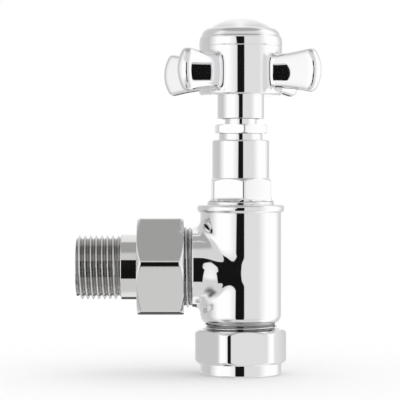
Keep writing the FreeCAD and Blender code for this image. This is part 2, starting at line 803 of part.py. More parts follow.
# Check the whole document, then write each piece
document.recompute()
for item in document.Objects:
    if "Invalid" in item.State or "Error" in item.State:
        raise RuntimeError(f"{item.Label} failed: {item.State}")
pieces = [
    compression_nut, olive, valve_body, union_nut, tail_piece, tail_washer, bonnet_seal, bonnet, gland_packing,
    gland_nut, plug, seat_disc, disc_screw, plug_clip, spindle, spindle_rings, crosshead, handle_skirt,
    drive_bush, handle_screw, cap_ring, dome_cap,
]
for piece in pieces:
    if piece.Shape.isNull() or not piece.Shape.isValid():
        raise RuntimeError(f"{piece.Label} is not a sound solid")
os.makedirs("parts", exist_ok=True)
for piece in pieces:
    piece.Shape.exportStep(f"parts/{piece.Label}.step")
    box = piece.Shape.BoundBox
    print(f"{piece.Label:16s} {piece.Shape.Volume:9.1f} mm3  x {box.XMin:7.2f} {box.XMax:7.2f}  "
          f"y {box.YMin:7.2f} {box.YMax:7.2f}  z {box.ZMin:7.2f} {box.ZMax:7.2f}")
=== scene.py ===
import json
import math

import bmesh
import bpy
import numpy as np
from mathutils import Matrix, Vector


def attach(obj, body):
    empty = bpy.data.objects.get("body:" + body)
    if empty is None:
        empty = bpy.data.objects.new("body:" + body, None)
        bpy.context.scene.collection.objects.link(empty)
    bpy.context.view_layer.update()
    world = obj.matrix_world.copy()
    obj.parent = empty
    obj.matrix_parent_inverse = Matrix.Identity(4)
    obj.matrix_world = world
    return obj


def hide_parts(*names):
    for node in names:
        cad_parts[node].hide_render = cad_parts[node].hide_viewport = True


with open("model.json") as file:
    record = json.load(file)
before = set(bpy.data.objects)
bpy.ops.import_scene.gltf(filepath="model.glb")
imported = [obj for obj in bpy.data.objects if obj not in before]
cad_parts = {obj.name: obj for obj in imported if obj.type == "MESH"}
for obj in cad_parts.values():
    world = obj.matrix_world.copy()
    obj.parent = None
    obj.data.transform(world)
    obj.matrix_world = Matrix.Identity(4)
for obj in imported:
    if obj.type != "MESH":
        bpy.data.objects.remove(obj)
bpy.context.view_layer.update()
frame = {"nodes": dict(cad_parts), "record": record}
mm = 0.001
print("frame loaded:", len(frame["nodes"]), "nodes")


# small helpers for node trees

def addNode(tree, kind, **settings):
    node = tree.nodes.new(kind)
    for key, value in settings.items():
        setattr(node, key, value)
    return node


def join(tree, source, target):
    tree.links.new(source, target)


def newMath(tree, operation, first, second=None):
    node = addNode(tree, "ShaderNodeMath", operation=operation)
    for socket, value in zip(node.inputs, (first, second)):
        if value is None:
            continue
        if isinstance(value, (int, float)):
            socket.default_value = value
        else:
            join(tree, value, socket)
    return node.outputs[0]


def newGroup(name, inputs, outputs):
    tree = bpy.data.node_groups.new(name, "ShaderNodeTree")
    for label, value in inputs.items():
        socket = tree.interface.new_socket(label, in_out="INPUT", socket_type="NodeSocketFloat")
        socket.default_value = value
    for label in outputs:
        tree.interface.new_socket(label, in_out="OUTPUT", socket_type="NodeSocketFloat")
    return tree, addNode(tree, "NodeGroupInput"), addNode(tree, "NodeGroupOutput")


# effects that several finishes share

effects = {"hazeDetail": 3.0, "waveDetail": 1.0, "ringDetail": 2.0, "ringDetailScale": 4.0, "ringDepth": 0.1}


def makePolish():
    # soft waviness of buffed plate, with faint haze that changes the roughness
    values = {"Roughness": 0.03, "Haze": 0.02, "Wave Size": 90.0, "Haze Size": 260.0}
    tree, given, result = newGroup("polish", values, ("Roughness", "Height"))
    spot = addNode(tree, "ShaderNodeTexCoord")
    haze = addNode(tree, "ShaderNodeTexNoise")
    haze.inputs["Detail"].default_value = effects["hazeDetail"]
    wave = addNode(tree, "ShaderNodeTexNoise")
    wave.inputs["Detail"].default_value = effects["waveDetail"]
    for node, size in ((haze, "Haze Size"), (wave, "Wave Size")):
        join(tree, spot.outputs["Object"], node.inputs["Vector"])
        join(tree, given.outputs[size], node.inputs["Scale"])
    spread = newMath(tree, "MULTIPLY", haze.outputs["Fac"], given.outputs["Haze"])
    join(tree, newMath(tree, "ADD", spread, given.outputs["Roughness"]), result.inputs["Roughness"])
    join(tree, wave.outputs["Fac"], result.inputs["Height"])
    return tree


def makeTurning():
    # fine rings left by a lathe tool round the local Z axis
    tree, given, result = newGroup("turning marks", {"Ring Size": 1200.0, "Distortion": 0.6}, ("Height",))
    tree.interface.new_socket("Vector", in_out="INPUT", socket_type="NodeSocketVector")
    rings = addNode(tree, "ShaderNodeTexWave", bands_direction="Z")
    rings.inputs["Detail"].default_value = effects["ringDetail"]
    rings.inputs["Detail Scale"].default_value = effects["ringDetailScale"]
    join(tree, given.outputs["Vector"], rings.inputs["Vector"])
    join(tree, given.outputs["Ring Size"], rings.inputs["Scale"])
    join(tree, given.outputs["Distortion"], rings.inputs["Distortion"])
    join(tree, rings.outputs["Fac"], result.inputs["Height"])
    return tree


def makeGrooveShade():
    # mask for the painted shade in thread roots: 0 at a thread's root and 1 at its crest, round the local Z
    # axis
    tree, given, result = newGroup("groove shade", {"Root": 0.009, "Crest": 0.01}, ("Mask",))
    tree.interface.new_socket("Vector", in_out="INPUT", socket_type="NodeSocketVector")
    axes = addNode(tree, "ShaderNodeSeparateXYZ")
    join(tree, given.outputs["Vector"], axes.inputs[0])
    squares = newMath(tree, "ADD", newMath(tree, "POWER", axes.outputs["X"], 2),
                      newMath(tree, "POWER", axes.outputs["Y"], 2))
    depth = addNode(tree, "ShaderNodeMapRange")
    join(tree, newMath(tree, "SQRT", squares), depth.inputs["Value"])
    join(tree, given.outputs["Root"], depth.inputs["From Min"])
    join(tree, given.outputs["Crest"], depth.inputs["From Max"])
    join(tree, depth.outputs["Result"], result.inputs["Mask"])
    return tree


polishGroup = makePolish()
grooveGroup = makeGrooveShade()
turningGroup = makeTurning()


# finishes, one for each slot of the record

branchLevel = 34.9
finishes = {
    "chrome": {"colour": (0.9, 0.9, 0.91), "metallic": 1.0, "roughness": 0.015, "haze": 0.03, "bump": 0.006},
    "pale_chrome": {"colour": (0.93, 0.93, 0.935), "metallic": 1.0, "roughness": 0.05, "haze": 0.05,
                    "bump": 0.004},
    "nickel": {"colour": (0.8, 0.795, 0.785), "metallic": 1.0, "roughness": 0.03, "haze": 0.06, "bump": 0.01,
               "rings": 0.02},
    "brass": {"colour": (0.78, 0.6, 0.3), "metallic": 1.0, "roughness": 0.2, "haze": 0.15, "bump": 0.01,
              "rings": 0.05},
    "steel": {"colour": (0.6, 0.6, 0.6), "metallic": 1.0, "roughness": 0.25, "haze": 0.15, "bump": 0.01,
              "rings": 0.05},
    "rubber": {"colour": (0.03, 0.03, 0.03), "metallic": 0.0, "roughness": 0.6, "haze": 0.2, "bump": 0.05},
}
# the axis that lathe rings and threads go round
upright = {"turn": (0, 0, 0), "shift": (0, 0, 0)}
alongBranch = {"turn": (0, math.radians(90), 0), "shift": (-branchLevel * mm, 0, 0)}


def makeFinish(name, look, axis=upright):
    material = bpy.data.materials.new(name)
    material.use_nodes = True
    tree = material.node_tree
    shader = tree.nodes["Principled BSDF"]
    shader.inputs["Base Color"].default_value = (*look["colour"], 1)
    shader.inputs["Metallic"].default_value = look["metallic"]
    polish = addNode(tree, "ShaderNodeGroup", node_tree=polishGroup)
    polish.inputs["Roughness"].default_value = look["roughness"]
    polish.inputs["Haze"].default_value = look["haze"]
    join(tree, polish.outputs["Roughness"], shader.inputs["Roughness"])
    bump = addNode(tree, "ShaderNodeBump")
    bump.inputs["Strength"].default_value = look["bump"]
    bump.inputs["Distance"].default_value = mm
    join(tree, polish.outputs["Height"], bump.inputs["Height"])
    join(tree, bump.outputs["Normal"], shader.inputs["Normal"])
    # the piece's own axis brought to Z
    spot = addNode(tree, "ShaderNodeTexCoord")
    along = addNode(tree, "ShaderNodeMapping")
    along.inputs["Rotation"].default_value = axis["turn"]
    along.inputs["Location"].default_value = axis["shift"]
    join(tree, spot.outputs["Object"], along.inputs["Vector"])
    # painted shade: the base colour darkens from the crest down to the thread's root
    if "paintedRootShade" in look:
        shade = addNode(tree, "ShaderNodeGroup", node_tree=grooveGroup)
        shade.inputs["Root"].default_value = look["grooveRoot"] * mm
        shade.inputs["Crest"].default_value = look["grooveCrest"] * mm
        join(tree, along.outputs["Vector"], shade.inputs["Vector"])
        tone = addNode(tree, "ShaderNodeMix", data_type="RGBA")
        tone.inputs["A"].default_value = (*look["paintedRootShade"], 1)
        tone.inputs["B"].default_value = (*look["colour"], 1)
        join(tree, shade.outputs["Mask"], tone.inputs["Factor"])
        join(tree, tone.outputs["Result"], shader.inputs["Base Color"])
    if "rings" in look:
        marks = addNode(tree, "ShaderNodeGroup", node_tree=turningGroup)
        ringBump = addNode(tree, "ShaderNodeBump")
        ringBump.inputs["Strength"].default_value = look["rings"]
        ringBump.inputs["Distance"].default_value = effects["ringDepth"] * mm
        join(tree, along.outputs["Vector"], marks.inputs["Vector"])
        join(tree, marks.outputs["Height"], ringBump.inputs["Height"])
        join(tree, bump.outputs["Normal"], ringBump.inputs["Normal"])
        join(tree, ringBump.outputs["Normal"], shader.inputs["Normal"])
    return material


finishOf = {slot: makeFinish(slot, look, alongBranch if slot == "nickel" else upright)
            for slot, look in finishes.items()}
# painted shade: thread roots are coloured darker than the crests, to stand for the shade that falls in the
# grooves
threadLooks = {
    "tailThread": ("nickel", alongBranch,
                   {"paintedRootShade": (0.36, 0.355, 0.345), "grooveRoot": 9.2, "grooveCrest": 10.3}),
    "branchThread": ("chrome", alongBranch,
                     {"paintedRootShade": (0.3, 0.3, 0.3), "grooveRoot": 12.4, "grooveCrest": 13.15}),
    "spigotThread": ("chrome", upright,
                     {"paintedRootShade": (0.3, 0.3, 0.3), "grooveRoot": 11.15, "grooveCrest": 11.85}),
}
threadFinish = {name: makeFinish(name, {**finishes[slot], **paintedRootShade}, axis)
                for name, (slot, axis, paintedRootShade) in threadLooks.items()}
slotOf = {part["node"]: part["material_slot"] for part in frame["record"]["subparts"]}
bodyOf = {node: body for body, nodes in frame["record"]["behaviour"]["bodies"].items() for node in nodes}
for name, node in frame["nodes"].items():
    node.data.materials.clear()
    node.data.materials.append(finishOf[slotOf[name]])
print("finishes made:", len(finishOf))


# tools for the pieces; sizes are in millimetres

cornerSteps = 4
turnSteps = 180
hexSteps = 480
threadSteps = 72
# points closer than this are one
weld = 0.001
# how far apart the points of a hexagon's blank are, and how far its corners stand past the flats' own
blankFine = 0.25
cornerSlack = 0.02
# a blank's bore lies within this share of its flats
boreShare = 0.8
# the turns of a thread's flank as shares of its pitch, and how fast the ends rise from the root
threadForm = {"rootEnd": 0.1, "crestStart": 0.44, "crestEnd": 0.58, "rootStart": 0.92, "round": 0.06}
leadIn = 1.1
# edges sharper than this many degrees stay sharp
sharpFrom = 30
shineWeight = 100
onBranch = Matrix.Translation((0, 0, branchLevel * mm)) @ Matrix.Rotation(math.radians(-90), 4, "Y")


def allOf(bm):
    return bm.verts[:] + bm.edges[:] + bm.faces[:]


def vertsIn(items):
    return [item for item in items if isinstance(item, bmesh.types.BMVert)]


def fromAxis(vert):
    return math.hypot(vert.co.x, vert.co.y)


def drawOutline(bm, points, closed=True):
    # each point is a radius, a height and, where the corner is rounded, how far the round reaches
    corners = [bm.verts.new((point[0] * mm, 0, point[1] * mm)) for point in points]
    for pair in zip(corners, corners[1:] + corners[:1] if closed else corners[1:]):
        bm.edges.new(pair)
    for corner, point in zip(corners, points):
        if len(point) > 2:
            bmesh.ops.bevel(bm, geom=[corner], offset=point[2] * mm, offset_type="OFFSET",
                            segments=cornerSteps, profile=0.5, affect="VERTICES", material=-1)


def repeated(bm, count, step):
    # copies of all that is there, each one step further on
    first = allOf(bm)
    move = Matrix.Identity(4)
    for _ in range(count - 1):
        move = step @ move
        copied = bmesh.ops.duplicate(bm, geom=first)["geom"]
        bmesh.ops.transform(bm, matrix=move, verts=vertsIn(copied))
    bmesh.ops.remove_doubles(bm, verts=bm.verts, dist=weld * mm)


def turned(points, steps=turnSteps, fine=None):
    # a sixth of the turn is spun, and the rest are copies of it
    bm = bmesh.new()
    drawOutline(bm, points)
    if fine:
        for edge in bm.edges[:]:
            bmesh.ops.subdivide_edges(bm, edges=[edge], cuts=int(edge.calc_length() / (fine * mm)))
    bmesh.ops.spin(bm, geom=bm.verts[:] + bm.edges[:], cent=(0, 0, 0), axis=(0, 0, 1), angle=math.pi / 3,
                   steps=steps // 6)
    repeated(bm, 6, Matrix.Rotation(math.pi / 3, 4, "Z"))
    return bm


def softLeast(first, second, reach):
    # the lesser of two, eased where they are nearly the same
    overlap = max(0, reach - abs(first - second)) / reach
    return min(first, second) - overlap ** 2 * reach / 4


def cornerOf(flats):
    return flats / 2 / math.cos(math.radians(30))


def hexagon(points, nut):
    # a turned blank with six flats on it: the flats swell a little, as buffed ones do, and the edges are soft
    bm = turned(points, hexSteps, fine=blankFine)
    half, swell = nut["flats"] / 2, nut["swell"]

    def flatAt(angle):
        across = (half - swell) * math.sin(angle)
        return (half - swell) * math.cos(angle) + math.sqrt(swell ** 2 - across ** 2)

    for vert in bm.verts:
        radius = fromAxis(vert) / mm
        if radius < boreShare * half:
            continue
        turn = math.degrees(math.atan2(vert.co.y, vert.co.x)) - nut["corner"]
        off = math.radians(abs((turn + 360) % 60 - 30))
        flat = softLeast(flatAt(off), flatAt(math.pi / 3 - off), nut["cornerRound"])
        flat += nut.get("flare", 0) * max(0, nut.get("flareTop", 0) - vert.co.z / mm) ** 2
        kept = softLeast(radius, flat, nut["softness"])
        vert.co.x *= kept / radius
        vert.co.y *= kept / radius
    return bm


def threaded(crest, depth, pitch, low, high):
    # one pitch of the thread, wound along the axis, with both ends brought down to the root
    bm = bmesh.new()
    root = crest - depth
    soft = threadForm["round"] * pitch
    drawOutline(bm, [
        (root, 0), (root, threadForm["rootEnd"] * pitch, soft),
        (crest, threadForm["crestStart"] * pitch, soft), (crest, threadForm["crestEnd"] * pitch, soft),
        (root, threadForm["rootStart"] * pitch, soft), (root, pitch),
    ], False)
    bmesh.ops.translate(bm, verts=bm.verts, vec=(0, 0, (low - pitch) * mm))
    bmesh.ops.spin(bm, geom=bm.verts[:] + bm.edges[:], cent=(0, 0, 0), axis=(0, 0, 1), angle=2 * math.pi,
                   dvec=(0, 0, pitch * mm / threadSteps), steps=threadSteps)
    repeated(bm, math.ceil((high - low) / pitch) + 1, Matrix.Translation((0, 0, pitch * mm)))
    for height, side in ((low, -1), (high, 1)):
        bmesh.ops.bisect_plane(bm, geom=allOf(bm), dist=weld * mm, plane_co=(0, 0, height * mm),
                               plane_no=(0, 0, side), clear_outer=True)
    for vert in bm.verts:
        radius = fromAxis(vert)
        room = min(vert.co.z - low * mm, high * mm - vert.co.z)
        allowed = root * mm + room * leadIn
        if radius > allowed:
            vert.co.x *= allowed / radius
            vert.co.y *= allowed / radius
    return bm


def merged(*parts):
    # a part may come with the number of its material
    bm = bmesh.new()
    for part in parts:
        if isinstance(part, tuple):
            part, number = part
            for face in part.faces:
                face.material_index = number
        mesh = bpy.data.meshes.new("part")
        part.to_mesh(mesh)
        part.free()
        bm.from_mesh(mesh)
        bpy.data.meshes.remove(mesh)
    return bm


def place(bm, name, node, turn=None, threads=()):
    if turn is not None:
        bmesh.ops.transform(bm, matrix=turn, verts=bm.verts)
    bmesh.ops.remove_doubles(bm, verts=bm.verts, dist=weld * mm)
    bmesh.ops.recalc_face_normals(bm, faces=bm.faces)
    mesh = bpy.data.meshes.new(name)
    bm.to_mesh(mesh)
    bm.free()
    for material in (finishOf[slotOf[node]], *(threadFinish[thread] for thread in threads)):
        mesh.materials.append(material)
    mesh.shade_smooth()
    mesh.set_sharp_from_angle(angle=math.radians(sharpFrom))
    piece = bpy.data.objects.new(name, mesh)
    bpy.context.collection.objects.link(piece)
    shine = piece.modifiers.new("evenShine", "WEIGHTED_NORMAL")
    shine.keep_sharp = True
    shine.weight = shineWeight
    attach(piece, bodyOf[node])
    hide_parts(node)


# compression nut: hexagon over a plain collar

compressionNut = {
    "flats": 27.5, "corner": 7.75, "cornerRound": 2.4, "softness": 0.5, "swell": 110.0,
    "top": 14.6, "chamfer": 1.5, "crown": 2.2, "threadBore": 12.2, "mouth": 0.6, "step": 0.5, "stepRise": 0.4,
    "foot": 0.0, "collar": 13.3, "collarTop": 3.7, "collarRound": 0.55, "collarLap": 0.6,
    "pipeHole": 7.65, "holeRound": 0.3, "ledge": 2.4, "play": 0.01,
}


def makeCompressionNut(nut):
    corner = cornerOf(nut["flats"]) + cornerSlack
    low, high, bore, hole = nut["collarTop"], nut["top"], nut["threadBore"], nut["pipeHole"]
    hexPart = hexagon([
        (bore, low + nut["stepRise"]), (bore, high - nut["mouth"]), (bore + nut["mouth"], high),
        (corner - nut["crown"], high), (corner, high - nut["chamfer"]), (corner, low + nut["chamfer"]),
        (corner - nut["crown"], low), (bore + nut["step"], low),
    ], nut)
    inner, lap = bore + nut["play"], low + nut["collarLap"]
    collarPart = turned([
        (hole, nut["foot"], nut["holeRound"]), (nut["collar"], nut["foot"], nut["collarRound"]),
        (nut["collar"], lap), (inner, lap), (inner, nut["ledge"]), (hole, nut["ledge"]),
    ])
    place(merged(hexPart, collarPart), "compressionNut", "compression_nut")


makeCompressionNut(compressionNut)


# union nut on the branch

unionNut = {
    "flats": 30.9, "corner": 37.0, "cornerRound": 0.5, "softness": 1.0, "swell": 110.0,
    "near": 18.5, "far": 33.6, "chamfer": 1.4, "crown": 2.1,
    "threadBore": 13.5, "mouth": 0.6, "tailHole": 10.85, "holeEdge": 0.5, "wall": 3.2,
}


def makeUnionNut(nut):
    corner = cornerOf(nut["flats"]) + cornerSlack
    near, far, bore, hole = nut["near"], nut["far"], nut["threadBore"], nut["tailHole"]
    place(hexagon([
        (hole, far - nut["wall"]), (hole, far - nut["holeEdge"]), (hole + nut["holeEdge"], far),
        (corner - nut["crown"], far), (corner, far - nut["chamfer"]), (corner, near + nut["chamfer"]),
        (corner - nut["crown"], near), (bore + nut["mouth"], near), (bore, near + nut["mouth"]),
        (bore, far - nut["wall"]),
    ], nut), "unionNut", "union_nut", turn=onBranch)


makeUnionNut(unionNut)


# tail piece: collar, shank and a threaded end with a key hole

tailPiece = {
    "collar": 12.9, "collarNear": 27.9, "collarFar": 30.1, "collarRound": 0.3,
    "shank": 10.55, "shankEnd": 39.0, "shankRound": 0.35, "sleeve": 1.0, "play": 0.05,
    "far": 53.4, "crest": 10.4, "depth": 1.16, "pitch": 1.814, "threadLap": 0.2,
    "bore": 6.9, "keyFlats": 12.8, "keyDepth": 11.0,
}


def makeTailPiece(tail):
    root, bore, end = tail["crest"] - tail["depth"], tail["bore"], tail["shankEnd"]
    near, far, soft = tail["collarNear"], tail["collarFar"], tail["collarRound"]
    thread = threaded(tail["crest"], tail["depth"], tail["pitch"], end - tail["threadLap"], tail["far"])
    stem = turned([
        (bore, near, soft), (tail["collar"], near, soft), (tail["collar"], far, soft), (tail["shank"], far),
        (tail["shank"], end, tail["shankRound"]), (root - tail["play"], end),
        (root - tail["play"], end + tail["sleeve"]), (bore, end + tail["sleeve"]),
    ])
    # the end face has a hexagon hole for a key
    mouth = bmesh.new()
    bmesh.ops.create_circle(mouth, radius=root * mm, segments=threadSteps)
    key = bmesh.ops.create_circle(mouth, radius=cornerOf(tail["keyFlats"]) * mm, segments=6)["verts"]
    bmesh.ops.translate(mouth, verts=mouth.verts, vec=(0, 0, tail["far"] * mm))
    bmesh.ops.triangle_fill(mouth, edges=mouth.edges[:], use_beauty=True)
    keyEdges = [edge for edge in mouth.edges if all(vert in key for vert in edge.verts)]
    walls = bmesh.ops.extrude_edge_only(mouth, edges=keyEdges)
    bmesh.ops.translate(mouth, verts=vertsIn(walls["geom"]), vec=(0, 0, -tail["keyDepth"] * mm))
    place(merged((thread, 1), stem, mouth), "tailPiece", "tail_piece", turn=onBranch, threads=["tailThread"])


makeTailPiece(tailPiece)


# bonnet: flange, hexagon, neck and rim

# hexSunk, flangeEdge and flangeTop go down from hexBase, neckSunk from hexTop
bonnet = {
    "flats": 19.1, "corner": 34.3, "cornerRound": 0.6, "softness": 0.4, "swell": 90.0,
    "flare": 0.5, "flareTop": 57.8, "hexBase": 56.5, "hexTop": 63.8, "hexSunk": 0.2, "chamfer": 1.1,
    "neck": 9.3, "neckTop": 76.2, "neckRound": 0.6, "neckSunk": 0.3, "neckStep": 0.05,
    "rim": 7.1, "rimTop": 78.3, "rimRound": 0.2, "bore": 5.4, "base": 55.25,
    "flange": 10.9, "flangeEdge": 0.3, "flangeRound": 0.4, "flangeSlope": 1.2, "flangeTop": 0.1,
}


def makeBonnet(cap):
    inner, flange, neck, rim = cap["bore"], cap["flange"], cap["neck"], cap["rim"]
    low, high = cap["hexBase"], cap["hexTop"]
    hexPart = hexagon([
        (inner, low - cap["hexSunk"]), (flange, low - cap["hexSunk"]), (flange, high - cap["chamfer"]),
        (neck + cap["neckStep"], high), (inner, high),
    ], cap)
    neckPart = turned([
        (inner, high - cap["neckSunk"]), (neck, high - cap["neckSunk"]),
        (neck, cap["neckTop"], cap["neckRound"]), (rim, cap["neckTop"]),
        (rim, cap["rimTop"], cap["rimRound"]), (inner, cap["rimTop"]),
    ])
    flangePart = turned([
        (inner, cap["base"]), (flange, cap["base"]), (flange, low - cap["flangeEdge"], cap["flangeRound"]),
        (flange - cap["flangeSlope"], low - cap["flangeTop"]), (inner, low - cap["flangeTop"]),
    ])
    place(merged(hexPart, neckPart, flangePart), "bonnetShell", "bonnet")


makeBonnet(bonnet)


# gland nut under the handle's skirt

glandNut = {
    "flats": 16.3, "corner": 37.2, "cornerRound": 0.5, "softness": 0.35, "swell": 60.0,
    "low": 78.3, "high": 81.2, "chamfer": 0.5, "crown": 0.9, "stemHole": 4.0,
    "boss": 5.2, "bossTop": 85.2, "bossRound": 0.4, "bossSunk": 0.1,
}


def makeGlandNut(nut):
    corner = cornerOf(nut["flats"]) + cornerSlack
    low, high, hole, boss = nut["low"], nut["high"], nut["stemHole"], nut["boss"]
    hexPart = hexagon([
        (hole, low), (corner - nut["crown"], low), (corner, low + nut["chamfer"]),
        (corner, high - nut["chamfer"]), (corner - nut["crown"], high), (hole, high),
    ], nut)
    bossPart = turned([
        (hole, high - nut["bossSunk"]), (boss, high - nut["bossSunk"]),
        (boss, nut["bossTop"], nut["bossRound"]), (hole, nut["bossTop"]),
    ])
    place(merged(hexPart, bossPart), "glandNut", "gland_nut")


makeGlandNut(glandNut)


# handle: skirt, cap ring and dome are turned, the cross head is one casting

handleSkirt = {
    "outline": [(6.4, 83.1), (7.6, 83.1, 0.25), (7.6, 90.9), (4.1, 90.9), (4.1, 88.1), (6.4, 88.1)],
}
capRing = {
    "outline": [(7.0, 105.0), (13.62, 106.6, 0.3), (13.35, 109.45, 0.5), (12.85, 109.95, 0.15),
                (12.8, 110.2, 0.1), (12.35, 111.4, 0.8), (11.3, 112.3, 0.9), (9.95, 112.5, 0.1),
                (9.9, 112.3), (7.0, 112.3)],
}
domeCap = {"base": 10.2, "level": 112.4, "height": 3.4, "skirt": 0.4, "rings": 90}


def makeDome(dome):
    # a shallow ball cap that sits in the ring
    ball = (dome["base"] ** 2 + dome["height"] ** 2) / (2 * dome["height"])
    centre = dome["level"] + dome["height"] - ball
    bm = bmesh.new()
    bmesh.ops.create_uvsphere(bm, u_segments=turnSteps, v_segments=dome["rings"], radius=ball * mm,
                              matrix=Matrix.Translation((0, 0, centre * mm)))
    bmesh.ops.bisect_plane(bm, geom=allOf(bm), plane_co=(0, 0, dome["level"] * mm), plane_no=(0, 0, -1),
                           clear_outer=True)
    rim = bmesh.ops.extrude_edge_only(bm, edges=[edge for edge in bm.edges if edge.is_boundary])
    bmesh.ops.translate(bm, verts=vertsIn(rim["geom"]), vec=(0, 0, -dome["skirt"] * mm))
    bmesh.ops.holes_fill(bm, edges=[edge for edge in bm.edges if edge.is_boundary], sides=0)
    place(bm, "domeCap", "dome_cap")


place(turned(handleSkirt["outline"]), "handleSkirt", "handle_skirt")
place(turned(capRing["outline"]), "capRing", "cap_ring")
makeDome(domeCap)


# cross head: a turned drum, and the arms of the casting with their edges buffed round

crossHead = {
    "drum": [(6.0, 90.9), (13.5, 90.9, 0.5), (13.5, 106.7, 0.35), (7.0, 106.7), (7.0, 105.2), (6.0, 105.2)],
    "castWeld": 0.002, "sunk": 12.6, "voxel": 0.3, "buffing": 28, "buffShare": 0.5, "buffed": 13.0,
}


def evenMesh(mesh, voxel):
    # the same shape with an even grid of faces
    rough = bpy.data.objects.new("rough", mesh)
    bpy.context.collection.objects.link(rough)
    grid = rough.modifiers.new("grid", "REMESH")
    grid.mode = "VOXEL"
    grid.voxel_size = voxel * mm
    even = bpy.data.meshes.new_from_object(rough.evaluated_get(bpy.context.evaluated_depsgraph_get()))
    bpy.data.objects.remove(rough)
    return even


def makeCrossHead(cross):
    bm = bmesh.new()
    bm.from_mesh(frame["nodes"]["crosshead"].data)
    bmesh.ops.remove_doubles(bm, verts=bm.verts, dist=cross["castWeld"] * mm)
    mesh = bpy.data.meshes.new("arms")
    bm.to_mesh(mesh)
    bm.free()
    arms = bmesh.new()
    arms.from_mesh(evenMesh(mesh, cross["voxel"]))
    inside = [vert for vert in arms.verts if fromAxis(vert) < cross["sunk"] * mm]
    bmesh.ops.delete(arms, geom=inside, context="VERTS")
    bmesh.ops.holes_fill(arms, edges=[edge for edge in arms.edges if edge.is_boundary], sides=0)
    outside = [vert for vert in arms.verts if fromAxis(vert) > cross["buffed"] * mm]
    for _ in range(cross["buffing"]):
        bmesh.ops.smooth_vert(arms, verts=outside, factor=cross["buffShare"], use_axis_x=True,
                              use_axis_y=True, use_axis_z=True)
    place(merged(turned(cross["drum"]), arms), "crossHead", "crosshead")


makeCrossHead(crossHead)


# valve body: barrel and branch run into each other in one soft form

valveBody = {
    "barrel": 13.2, "low": 17.0, "roundTop": 19.5, "roundRadius": 3.05, "top": 53.0,
    "branch": 12.98, "branchFront": 12.45, "branchEnd": 15.8,
    "rootSwell": 0.4, "underSwell": 0.8, "underFrom": 6.0, "underReach": 10.0,
    "swellFrom": -13.5, "swellTo": -6.5, "fadeFrom": -1.5, "fade": 0.05, "farFade": 0.004,
    "sideBlend": 2.4, "frontBlend": 0.9,
    "voxel": 0.4, "spare": 2, "roughSteps": 128, "passes": 8, "slopeStep": 0.001, "leastSlope": 0.2,
    "bead": [(10.2, 52.3), (13.2, 52.3), (13.2, 52.75, 0.2), (14.25, 52.75, 1.1), (14.25, 55.2, 1.0),
             (11.5, 55.2, 0.2), (10.9, 55.35), (10.2, 55.3)],
    "spigot": [(7.6, 6.6, 0.3), (10.9, 6.6), (10.9, 17.1), (12.4, 17.6), (7.6, 20.2)],
    "spigotThread": {"crest": 11.9, "depth": 0.75, "pitch": 1.2, "low": 6.7, "high": 16.95},
    "stub": [(7.0, 12.0), (13.0, 15.75), (12.0, 16.0), (12.0, 26.5), (11.0, 26.7), (7.0, 26.7)],
    "branchThread": {"crest": 13.2, "depth": 0.8, "pitch": 1.35, "low": 15.9, "high": 26.7},
}


def ease(value):
    share = np.clip(value, 0, 1)
    return share ** 2 * (3 - 2 * share)


def softUnion(points, form):
    # below zero inside the body: barrel with its rounded foot, and branch, which swells towards the barrel
    x, y, z = points.T
    around = np.hypot(x, y)
    straight = around - form["barrel"]
    rounded = np.hypot(straight + form["roundRadius"], z - form["roundTop"]) - form["roundRadius"]
    barrel = np.where(z < form["roundTop"], rounded, straight)
    under = ease((branchLevel + form["underFrom"] - z) / form["underReach"])
    swell = ease((x - form["swellFrom"]) / (form["swellTo"] - form["swellFrom"]))
    swell *= form["rootSwell"] + form["underSwell"] * under
    branch = np.hypot(y * form["branch"] / form["branchFront"], z - branchLevel) - form["branch"] - swell
    fading = form["fade"] * np.clip(x - form["fadeFrom"], 0, None) ** 2
    fading += form["farFade"] * np.clip(x, 0, None) ** 3
    branch += fading
    frontness = np.clip(np.abs(y) / form["barrel"], 0, 1) ** 2
    blend = form["sideBlend"] + (form["frontBlend"] - form["sideBlend"]) * frontness
    overlap = np.clip(blend - np.abs(barrel - branch), 0, None) / blend
    return np.minimum(barrel, branch) - overlap ** 2 * blend / 4


def makeBarrel(form):
    # two plain rods are made into one even grid, and its points then drawn onto the soft form
    bm = bmesh.new()
    foot = form["low"] - form["spare"]
    tall = form["top"] + form["spare"] - foot
    reach = form["branchEnd"] + form["spare"]
    rods = (
        (form["barrel"], tall, Matrix.Translation((0, 0, (foot + tall / 2) * mm))),
        (form["branch"], reach, onBranch @ Matrix.Translation((0, 0, reach / 2 * mm))),
    )
    for radius, length, spot in rods:
        bmesh.ops.create_cone(bm, cap_ends=True, segments=form["roughSteps"], radius1=radius * mm,
                              radius2=radius * mm, depth=length * mm, matrix=spot)
    mesh = bpy.data.meshes.new("roughBody")
    bm.to_mesh(mesh)
    bm.free()
    even = evenMesh(mesh, form["voxel"])
    points = np.empty(len(even.vertices) * 3)
    even.vertices.foreach_get("co", points)
    points = points.reshape(-1, 3) / mm
    step = form["slopeStep"]
    for _ in range(form["passes"]):
        height = softUnion(points, form)
        rises = [softUnion(points + step * axis, form) - softUnion(points - step * axis, form)
                 for axis in np.eye(3)]
        slope = np.stack(rises, axis=1) / (2 * step)
        steep = np.clip((slope ** 2).sum(axis=1), form["leastSlope"], None)
        points -= slope * (height / steep)[:, None]
    even.vertices.foreach_set("co", (points * mm).ravel())
    bm = bmesh.new()
    bm.from_mesh(even)
    for spot, outward in (((0, 0, form["top"]), (0, 0, 1)), ((0, 0, form["low"]), (0, 0, -1)),
                          ((-form["branchEnd"], 0, 0), (-1, 0, 0))):
        bmesh.ops.bisect_plane(bm, geom=allOf(bm), plane_co=Vector(spot) * mm, plane_no=outward,
                               clear_outer=True)
    return bm


